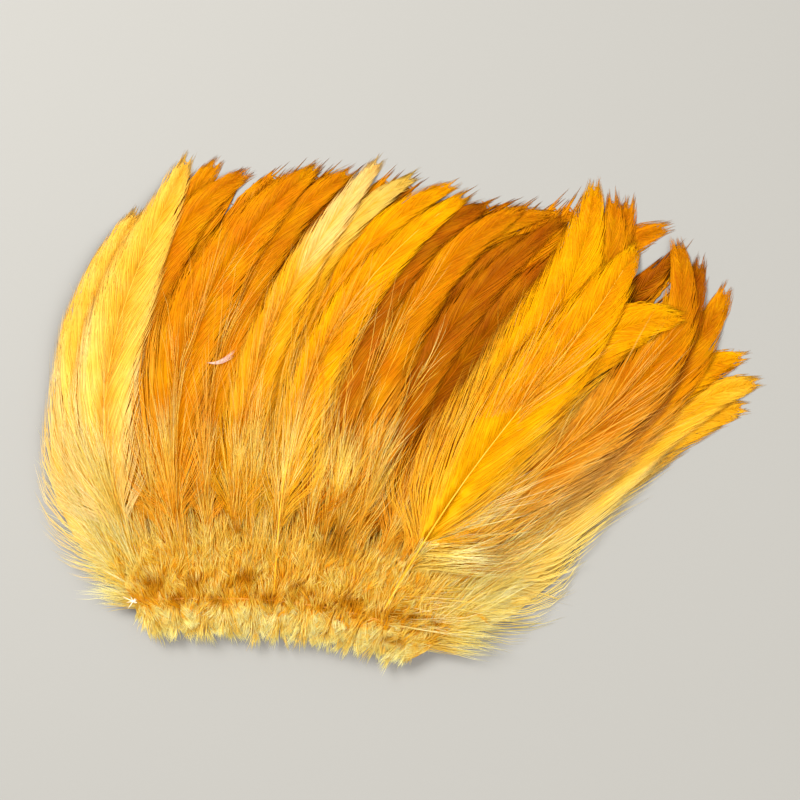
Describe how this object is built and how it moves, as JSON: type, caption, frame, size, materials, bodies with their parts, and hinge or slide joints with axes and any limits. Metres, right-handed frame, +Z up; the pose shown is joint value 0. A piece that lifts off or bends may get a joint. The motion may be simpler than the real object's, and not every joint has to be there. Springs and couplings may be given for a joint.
{
  "type": "strung hackle feathers",
  "caption": "Dyed cock's neck feathers sewn side by side on a thread and fanned out flat, with curly down at their butts.",
  "frame": {"origin": "on the surface that the hackle lies on, under the middle of its box", "axes": "+X along the fan's width from the pale left feathers to the right end, +Y from the thread towards the tips, +Z up from the surface"},
  "size_m": [0.2158, 0.1506, 0.0135],
  "materials": {
    "feather_pale": "matte",
    "feather_gold": "satin",
    "feather_amber": "satin",
    "feather_deep": "satin",
    "thread": "matte"
  },
  "bodies": {
    "root": {"feather_01": "feather_pale", "feather_02": "feather_amber", "feather_03": "feather_pale", "feather_04": "feather_pale", "feather_05": "feather_amber", "feather_06": "feather_amber", "feather_07": "feather_deep", "feather_08": "feather_amber", "feather_09": "feather_amber", "feather_10": "feather_amber", "feather_11": "feather_amber", "feather_12": "feather_amber", "feather_13": "feather_deep", "feather_14": "feather_amber", "feather_15": "feather_amber", "feather_16": "feather_deep", "feather_17": "feather_amber", "feather_18": "feather_gold", "feather_19": "feather_deep", "feather_20": "feather_gold", "feather_21": "feather_amber", "feather_22": "feather_gold", "feather_23": "feather_amber", "feather_24": "feather_gold", "feather_25": "feather_deep", "feather_26": "feather_amber", "feather_27": "feather_amber", "feather_28": "feather_deep", "feather_29": "feather_amber", "feather_30": "feather_amber", "feather_31": "feather_deep", "feather_32": "feather_amber", "feather_33": "feather_deep", "feather_34": "feather_deep", "feather_35": "feather_deep", "feather_36": "feather_amber", "feather_37": "feather_deep", "feather_38": "feather_amber", "feather_39": "feather_amber", "feather_40": "feather_deep", "feather_41": "feather_gold", "feather_42": "feather_gold", "feather_43": "feather_amber", "feather_44": "feather_gold", "feather_45": "feather_gold", "feather_46": "feather_amber", "feather_47": "feather_amber", "feather_48": "feather_amber", "feather_49": "feather_gold", "feather_50": "feather_gold", "feather_51": "feather_gold", "feather_52": "feather_pale", "thread": "thread"}
  },
  "joints": []
}
